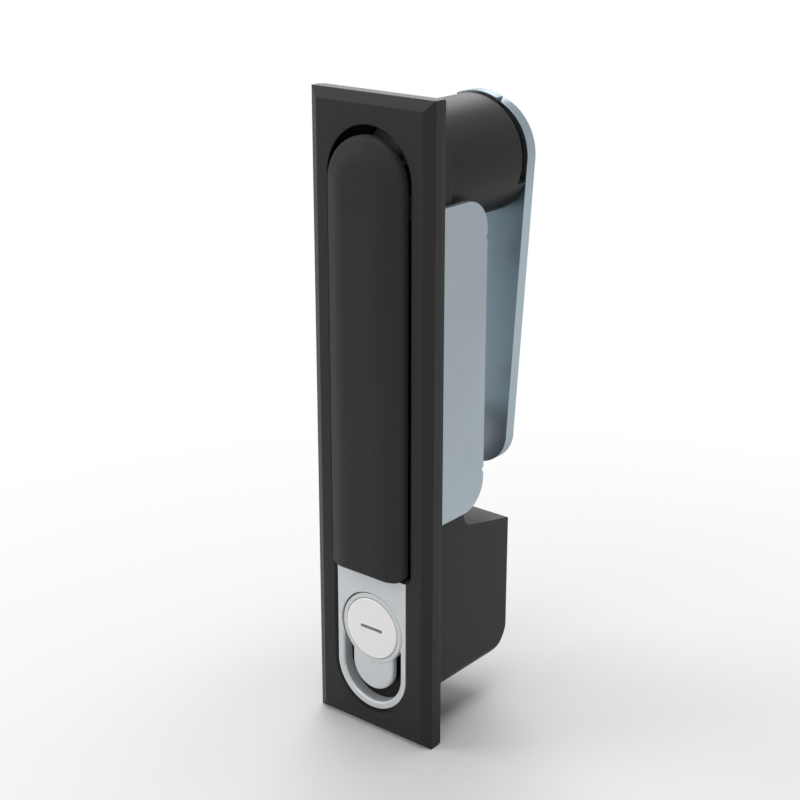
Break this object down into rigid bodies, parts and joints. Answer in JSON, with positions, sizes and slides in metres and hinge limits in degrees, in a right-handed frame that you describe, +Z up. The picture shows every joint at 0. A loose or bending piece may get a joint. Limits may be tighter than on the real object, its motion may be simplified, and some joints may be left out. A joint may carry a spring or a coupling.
{
  "type": "swing handle lock",
  "caption": "Flush swing handle lock for a cabinet door: the handle lifts out of its plate and turns a cam lever, a key lock holds it shut, and a bent bracket clamps it to the panel.",
  "frame": {"origin": "centre of the plate's outline, on the plane of the panel's outer face, which is the rear face of the gasket", "axes": "+X to the right as seen from the front, +Y back through the panel into the cabinet, +Z up along the plate towards the turning axis"},
  "size_m": [0.036, 0.0568, 0.16],
  "materials": {
    "black_cast": "fine matt black powder coat on zinc casting",
    "black_cover": "matt black moulded plastic",
    "gasket_rubber": "dull black rubber",
    "zinc_sheet": "bluish zinc-plated steel sheet, satin",
    "zinc_lever": "bluish zinc-plated steel, satin, sheared edges",
    "satin_chrome": "satin chrome on a zinc casting",
    "satin_nickel": "fine satin nickel",
    "plated_screw": "zinc-plated steel",
    "spring_steel": "bright spring steel",
    "bronze": "sintered bronze, dull",
    "shaft_zinc": "grey zinc casting, uncoated"
  },
  "bodies": {
    "housing": {"housing": "black_cast", "panel_gasket": "gasket_rubber", "mounting_bracket": "zinc_sheet", "bracket_screws": "plated_screw", "bracket_washers": "plated_screw", "lock_insert": "satin_chrome", "insert_screws": "plated_screw", "lock_body": "satin_chrome", "lock_body_screw": "plated_screw", "case_cover": "black_cover", "cover_screws": "plated_screw", "spindle_bush": "bronze", "spindle_seal": "gasket_rubber", "handle_bumpers": "gasket_rubber", "bolt_spring": "spring_steel"},
    "spindle": {"spindle": "shaft_zinc", "cam_lever": "zinc_lever", "cam_washer": "plated_screw", "cam_spring_washer": "spring_steel", "cam_screw": "plated_screw", "handle_pivot_pin": "spring_steel", "retaining_ring": "spring_steel"},
    "handle": {"swing_handle": "black_cast", "handle_catch": "plated_screw", "catch_screw": "plated_screw"},
    "plug": {"lock_plug": "satin_nickel", "lock_driver": "bronze", "driver_screw": "plated_screw"},
    "bolt": {"locking_bolt": "zinc_sheet", "follower_pin": "spring_steel"}
  },
  "joints": [
    {"name": "spindle_turn", "type": "hinge", "parent": "housing", "child": "spindle", "pos_m": [0, 0, 0.0607], "axis": [0, 1, 0], "range_deg": [0, 90]},
    {"name": "handle_lift", "type": "hinge", "parent": "spindle", "child": "handle", "pos_m": [0, -0.002, 0.0607], "axis": [-1, 0, 0], "range_deg": [0, 60]},
    {"name": "plug_turn", "type": "hinge", "parent": "housing", "child": "plug", "pos_m": [0, 0, -0.05185], "axis": [0, 1, 0], "range_deg": [0, 90]},
    {"name": "bolt_slide", "type": "slide", "parent": "housing", "child": "bolt", "axis": [0, 0, 1], "range_m": [0, 0.0034], "deforming": ["bolt_spring"]}
  ],
  "couplings": [
    {"joint": "spindle_turn", "follows": "handle_lift", "ratio": 1.5},
    {"joint": "bolt_slide", "follows": "plug_turn", "m_per_rad": 0.0021645}
  ]
}
